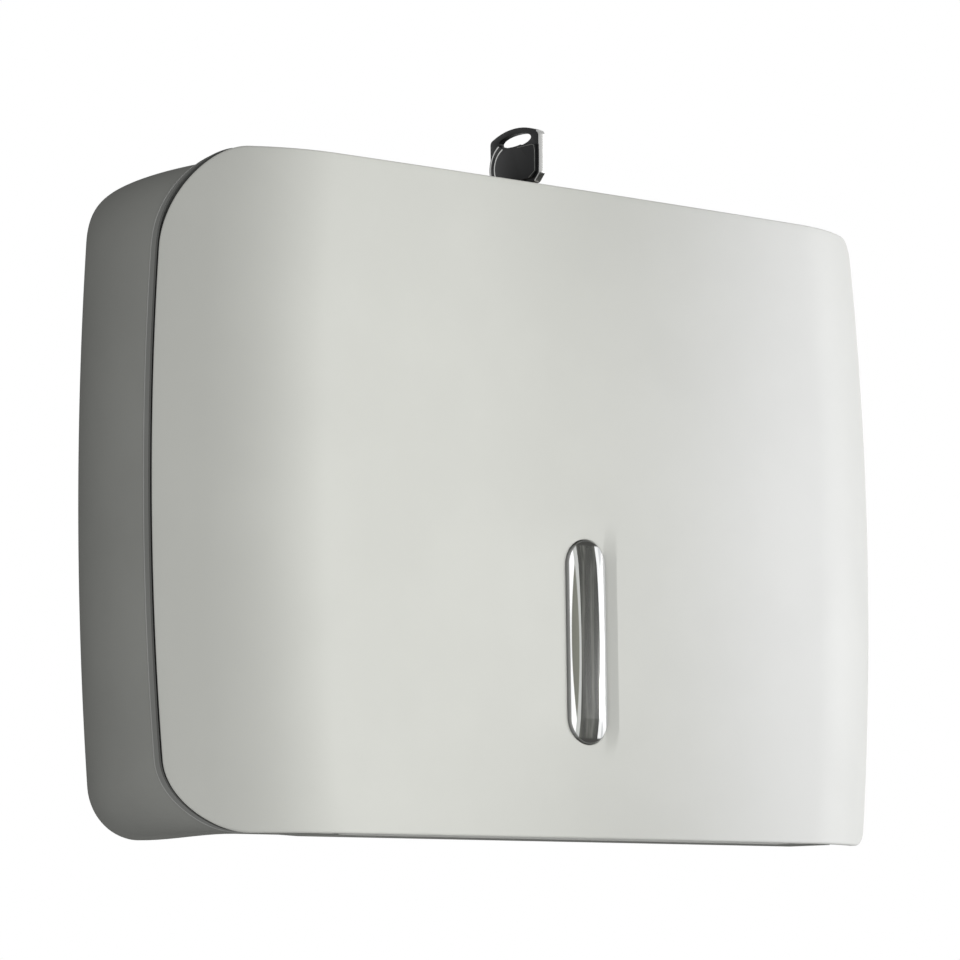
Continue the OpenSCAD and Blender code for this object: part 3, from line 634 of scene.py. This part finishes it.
def buildHousingInside(bm):
    form, r = housingForm, coverInside["knuckleR"]
    backIn = coverForm["depth"] - form["wall"]
    for x, z in screwSpots:
        addTube(bm, form["bossR"], wallScrews["hole_r_mm"], backIn - form["bossH"], backIn + form["sink"],
                shifted(frontPlace, x, z), form["bossEdge"])
    ribHalf = screwHalf[0] + form["bossR"]
    for k in (-1, 0, 1):
        z = k * screwHalf[1] / 2
        rib = boxLoop(-ribHalf, ribHalf, z - form["ribT"] / 2, z + form["ribT"] / 2)
        addSlab(bm, rib, backIn - form["ribH"], backIn + form["sink"], frontPlace)
    root = form["footBack"] + form["earRoot"]
    for s in (-1, 1):
        low = -caseHigh + floorLift(s * form["earX"][1] / form["footHalf"], -1)
        middle = low + form["wall"] / 2
        ear = knuckle(-1) + [(form["footBack"], middle), (root, middle), (root, low + form["wall"]),
                             (hingeBack + r, hingeZ + r)]
        addSlab(bm, ear, *sorted(s * x for x in form["earX"]), sidePlace)
    rings = []
    for s, short, drop in ((-1, 0, -1), (-1, form["apronEnd"], 1), (1, form["apronEnd"], 1), (1, 0, -1)):
        apron = boxLoop(form["footBack"], form["footBack"] + form["apronT"],
                        -coverHigh - form["apronDrop"] * drop, floorIn - form["wall"] / 2)
        rings.append([sidePlace(a, b, s * (form["apronHalf"] - short)) for a, b in apron])
    addRings(bm, rings, capped=True)


housing = newPiece("housingShell", buildHousing(), "housing", "housing", ["rear_housing"])
for look in housingLooks[1:]:
    housing.data.materials.append(finishes[look])
cut(housing, housingCutter())
bm = bmesh.new()
bm.from_mesh(housing.data)
buildHousingInside(bm)
bmesh.ops.recalc_face_normals(bm, faces=bm.faces)
bm.to_mesh(housing.data)
bm.free()
smoothen(housing.data, housingForm["crease"])
print("housing built:", len(housing.data.polygons), "faces")


# window
lensForm = {
    "halfW": 7.6, "halfH": 31.1, "bulge": 1.8, "seat": 2.6, "flangeGap": 0.3, "flange": 2.2, "flangeT": 1.7,
    "edge": 0.35, "middleR": 0.12, "rings": 26, "ringPower": 0.9, "around": 240, "crease": 50,
}
lensLook = {
    # painted light: the light bands, streak and sliver are painted reflections, glow a painted highlight; the dark
    # bands, caps and rim are painted shade
    "bow": 1.3, "soft": 0.1, "left": -4.75, "right": 2.7,
    "bands": ((-9.0, (246, 247, 246)), (-6.2, (198, 200, 197)), (-4.75, (74, 75, 71)), (2.25, (40, 40, 39)),
              (2.7, (246, 247, 246)), (4.0, (206, 208, 208)), (5.2, (182, 183, 181))),
    "paintedStreak": (112, 113, 107), "paintedStreakSize": 1.3, "paintedStreakTight": 0.05, "paintedStreakFrom": (0.42, 0.75),
    "sliver": (128, 129, 119), "sliverAt": -5.6, "sliverHalf": 1.35, "sliverEnd": 0.78,
    "sliverSoft": (-0.2, 0.15), "cap": (58, 58, 55), "capFrom": 0.945, "capSoft": 0.012,
    "rim": (112, 113, 110), "rimW": 0.28, "rimShare": 0.8, "glow": 0.3,
    "rough": 0.14, "roughMore": 0.06, "gloss": 0.12, "coat": 0.2, "coatRough": 0.03, "ior": 1.49,
    "clear": 0.15,
}


def lensWithPaintedLight():  # polished window with painted light: painted shade across the middle where the inside shows, painted reflections along the flanks
    look, form = lensLook, lensForm
    finish = Finish("lensWithPaintedLight")
    spot = finish.place()
    x, _, z = finish.axes(spot)
    fromMiddle = z + windowForm["down"]
    up = fromMiddle / form["halfH"]
    inner = x - look["bow"] * (1 - up * up)
    soft = look["soft"]
    # painted reflections: streaks of the inside, drawn out along the height
    drawn = finish.stretch(spot, look["paintedStreakTight"])
    paintedStreak = finish.noise(drawn, look["paintedStreakSize"], 3, 0.55).step(*look["paintedStreakFrom"])
    # bands: painted reflections along the flanks, painted shade across the middle
    colour = linear(look["bands"][0][1])
    for start, tone in look["bands"][1:]:
        colour = finish.mixColour(inner.past(start, soft), colour, linear(tone))
    # the middle is painted dark as the shaded inside and is only a little see-through
    shown = inner.past(look["left"], soft) * (1 - inner.past(look["right"], soft))
    colour = finish.mixColour(paintedStreak * shown, colour, linear(look["paintedStreak"]))
    # a grey sliver painted into the left reflection
    sliverHalf = look["sliverHalf"] * (1 - (up / look["sliverEnd"]) ** 2)
    sliver = 1 - (abs(x - look["sliverAt"]) - sliverHalf).step(*look["sliverSoft"])
    colour = finish.mixColour(sliver, colour, linear(look["sliver"]))
    # painted shade on the end slopes
    caps = abs(up).past(look["capFrom"], look["capSoft"])
    colour = finish.mixColour(caps, colour, linear(look["cap"]))
    # painted shade: a dark outline round the lens's edge
    beyond = (abs(fromMiddle) - (form["halfH"] - form["halfW"])).most(0.0)
    fromRim = form["halfW"] - (x * x + beyond * beyond) ** 0.5
    rim = 1 - fromRim.past(look["rimW"], soft)
    colour = finish.mixColour(rim * look["rimShare"], colour, linear(look["rim"]))
    # the left reflection glows faintly: a painted highlight
    glint = (1 - inner.past(look["bands"][1][0], soft)) * (1 - sliver) * (1 - rim) * (1 - caps)
    shown = shown * (1 - caps)
    return finish.close({
        "Base Color": colour, "Roughness": look["rough"] + shown * look["roughMore"],
        "Specular IOR Level": look["gloss"], "Coat Weight": look["coat"],
        "Coat Roughness": look["coatRough"],
        "IOR": look["ior"], "Alpha": 1 - shown * look["clear"],
        "Emission Color": finish.mixColour(glint, (0, 0, 0), (1, 1, 1)), "Emission Strength": look["glow"]})


def buildLens():
    form = lensForm

    def loop(radius, depth):  # a pill round the window's middle, at a depth that may change over it
        pill = pillLoop(form["halfH"] - form["halfW"], radius, form["around"])
        return [frontPlace(x, z - windowForm["down"], depth(x, z)) for z, x in pill]

    def front(x, z):
        across, along = (x / form["halfW"]) ** 2, (z / form["halfH"]) ** 2
        return -form["bulge"] + form["bulge"] * min(1.0, (across ** 3 + along ** 3) ** (1 / 3))

    rings = []
    span = form["halfW"] - form["edge"] - form["middleR"]
    for k in range(form["rings"]):
        rings.append(loop(form["middleR"] + span * (k / (form["rings"] - 1)) ** form["ringPower"], front))
    for away, deep in roundSteps(form["edge"])[1:]:
        rings.append(loop(form["halfW"] - away, lambda x, z: front(x, z) + deep))
    flangeR, back = form["halfW"] + form["flangeGap"] + form["flange"], form["seat"] + form["flangeT"]
    for radius, level in ((form["halfW"], form["seat"]), (flangeR, form["seat"]), (flangeR, back),
                          (form["middleR"], back)):
        rings.append(loop(radius, lambda x, z: level))
    bm = bmesh.new()
    addRings(bm, rings, capped=True)
    return bm


finishes["lens"] = lensWithPaintedLight()
newPiece("windowLens", buildLens(), "lens", "cover", ["level_window"], lensForm["crease"])
print("window built")


# moulded and turned pieces that keep their solids, with their edges broken
dressForm = {  # finish, body, material slot and width of the broken edge
    "throat_plate": ("throat", "housing", "throat_plastic", 0.4),
    "throat_screws": ("steel", "housing", "steel", 0.15),
    "towel_guide_left": ("guide", "housing", "guide_plastic", 0.3),
    "towel_guide_right": ("guide", "housing", "guide_plastic", 0.3),
    "guide_screws": ("steel", "housing", "steel", 0.15),
    "hinge_pin_left": ("steel", "housing", "steel", 0.15),
    "hinge_pin_right": ("steel", "housing", "steel", 0.15),
    "lock_barrel": ("nickel", "housing", "lock_nickel", 0.25),
    "lock_washer": ("steel", "housing", "steel", 0.1),
    "lock_nut": ("nickel", "housing", "lock_nickel", 0.25),
    "lock_plug": ("brass", "lock_cylinder", "lock_brass", 0.15),
    "lock_cam": ("steel", "lock_cylinder", "steel", 0.2),
    "cam_screw": ("steel", "lock_cylinder", "steel", 0.2),
    "key_blade": ("nickel", "key", "lock_nickel", 0.12),
    "key_head": ("keyBlack", "key", "key_plastic", 0.25),
    "key_rim": ("bright", "key", "key_bright", 0.08),
    "window_retainer": ("cover", "cover", "cover_plastic", 0.3),
    "window_screws": ("steel", "cover", "steel", 0.12),
    "latch_catch": ("steel", "cover", "steel", 0.2),
    "catch_screws": ("steel", "cover", "steel", 0.12),
}
dressEdges = {"weld": 0.002, "flat": 0.5, "sharp": 35.0, "crease": 32}


def dressNode(node, finish, body, slot, edge):
    form = dressEdges
    bm = bmesh.new()
    bm.from_mesh(frame["nodes"][node].data)
    bmesh.ops.remove_doubles(bm, verts=bm.verts, dist=form["weld"] * mm)
    bmesh.ops.dissolve_limit(bm, angle_limit=math.radians(form["flat"]), verts=bm.verts, edges=bm.edges)
    least = math.radians(form["sharp"])
    sharp = [e for e in bm.edges if len(e.link_faces) == 2 and e.calc_face_angle(0) > least]
    bmesh.ops.bevel(bm, geom=sharp, offset=edge * mm, offset_type="OFFSET", segments=2, profile=0.5,
                    affect="EDGES", clamp_overlap=True)
    newPiece(node.replace("_", "") + "Dressed", bm, finish, body, [node], form["crease"])


for node, settings in dressForm.items():
    dressNode(node, *settings)
print("small pieces dressed:", len(dressForm))


# painted highlight: a pale bead along the edge of the key's grip pad stands in for the light caught on that edge
keyHighlightForm = {
    "x": 1.9, "r": 0.13, "around": 8,
    "path": ((27.7, 117.5), (20.8, 117.4), (19.8, 117.0), (19.5, 115.3), (19.55, 108.9), (22.4, 107.1)),
}


def addBead(bm, path, radius, x, around):  # a thin round bead along a path of depths and heights
    rings = []
    for k, (d, z) in enumerate(path):
        before, after = path[max(k - 1, 0)], path[min(k + 1, len(path) - 1)]
        run = Vector((after[0] - before[0], after[1] - before[1])).normalized()
        rings.append([sidePlace(d - run.y * a, z + run.x * a, x + b) for a, b in circle(radius, around)])
    addRings(bm, rings, capped=True)


bm = bmesh.new()
for s in (-1, 1):
    addBead(bm, keyHighlightForm["path"], keyHighlightForm["r"], s * keyHighlightForm["x"], keyHighlightForm["around"])
newPiece("paintedKeyHighlights", bm, "paintedKeyHighlight", "key", [])
print("key line laid")


# camera
viewForm = {
    "spot": (-850.67, -1041.87, -150.45), "azimuth": -40.39, "elevation": -7.17, "roll": -0.72,
    "lens": 157.3, "sensor": 36.0, "clip": (0.05, 50.0),
}


def wayFrom(look):  # from the object towards a camera or a lamp, with azimuth 0 in front of the wall
    az, el = math.radians(look["azimuth"]), math.radians(look["elevation"])
    return Vector((math.sin(az) * math.cos(el), -math.cos(az) * math.cos(el), math.sin(el)))


def setCamera():
    form = viewForm
    data = bpy.data.cameras.new("photoCamera")
    data.lens, data.sensor_width = form["lens"], form["sensor"]
    data.clip_start, data.clip_end = form["clip"]
    made = bpy.data.objects.new("photoCamera", data)
    turn = (-wayFrom(form)).to_track_quat("-Z", "Y").to_matrix().to_4x4()
    roll = Matrix.Rotation(math.radians(form["roll"]), 4, "Z")
    made.matrix_world = Matrix.Translation(Vector(form["spot"]) * mm) @ turn @ roll
    scene.collection.objects.link(made)
    scene.camera = made


setCamera()


# light and floor, in metres
lightForm = {
    "level": 0.27, "floorDrop": 0.9, "floorSize": 12.0, "floorTone": 0.8, "floorDark": 0.97,
    "floorMarks": 300.0, "floorRough": 0.8, "floorGloss": 0.1, "floorGlow": 0.4,
    "panels": {
        "keyPanel": {"azimuth": 62.0, "elevation": 2.0, "away": 6.0, "size": 2.2, "power": 202.0},
        "fillPanel": {"azimuth": -44.0, "elevation": -6.0, "away": 1.2, "size": 0.8, "power": 4.95},
    },
    "spots": {  # each aims at a place on the cover, in millimetres
        "flankSpot": {"azimuth": 0.0, "elevation": 0.0, "away": 1.5, "aim": (116.0, -85.0, -5.0),
                      "cone": 7.8, "tall": 2.6, "size": 0.05, "power": 46.0, "tint": (0.88, 0.87, 1.0)},
        "bendSpot": {"azimuth": 50.0, "elevation": 0.0, "away": 1.5, "aim": (-92.0, -90.0, -5.0),
                     "cone": 7.4, "tall": 2.7, "size": 0.03, "power": 35.0},
    },
}


def setLamp(name, kind, look):
    way = wayFrom(look)
    data = bpy.data.lights.new(name, kind)
    data.energy, data.color = look["power"], look.get("tint", (1, 1, 1))
    if kind == "AREA":
        data.shape, data.size = "DISK", look["size"]
    else:
        data.spot_size, data.spot_blend = math.radians(look["cone"]), 1.0
        data.shadow_soft_size = look["size"]
    lamp = bpy.data.objects.new(name, data)
    lamp.location = Vector(look.get("aim", (0, 0, 0))) * mm + way * look["away"]
    lamp.rotation_euler = way.to_track_quat("Z", "Y").to_euler()
    lamp.scale = (1, look.get("tall", 1), 1)
    scene.collection.objects.link(lamp)


def seenBy(finish):  # 1 for the rays that show the background
    camera, glossy, clear = [finish.node("LightPath", out=k) for k in (0, 3, 6)]
    return camera.most(glossy).most(clear)


def setLight():
    form = lightForm
    world = bpy.data.worlds.new("studio")
    world.use_nodes = True
    scene.world = world
    finish = Finish("studio", world.node_tree)
    strength = form["level"] + seenBy(finish) * (1 - form["level"])
    sky = finish.node("Background", sockets={"Color": (1, 1, 1, 1), "Strength": strength})
    finish.node("OutputWorld", sockets={0: sky})
    for kind, group in (("AREA", "panels"), ("SPOT", "spots")):
        for name, look in form[group].items():
            setLamp(name, kind, look)


def setFloor():
    form = lightForm
    finish = Finish("paleFloor")
    tone = (form["floorTone"],) * 3
    marks = finish.noise(finish.place(), form["floorMarks"])
    colour = finish.mixColour(marks, tone, dim(tone, form["floorDark"]))
    glow = finish.mixColour(seenBy(finish), (0, 0, 0), (1, 1, 1))
    material = finish.close({"Base Color": colour, "Roughness": form["floorRough"],
                             "Specular IOR Level": form["floorGloss"],
                             "Emission Color": glow, "Emission Strength": form["floorGlow"]})
    bm = bmesh.new()
    bmesh.ops.create_grid(bm, x_segments=1, y_segments=1, size=form["floorSize"] / 2)
    floor = addObject("floor", bm)
    floor.data.materials.append(material)
    floor.location = (0, 0, -form["floorDrop"])


setLight()
setFloor()
scene.view_settings.view_transform = "Standard"
print("camera, light and floor set")
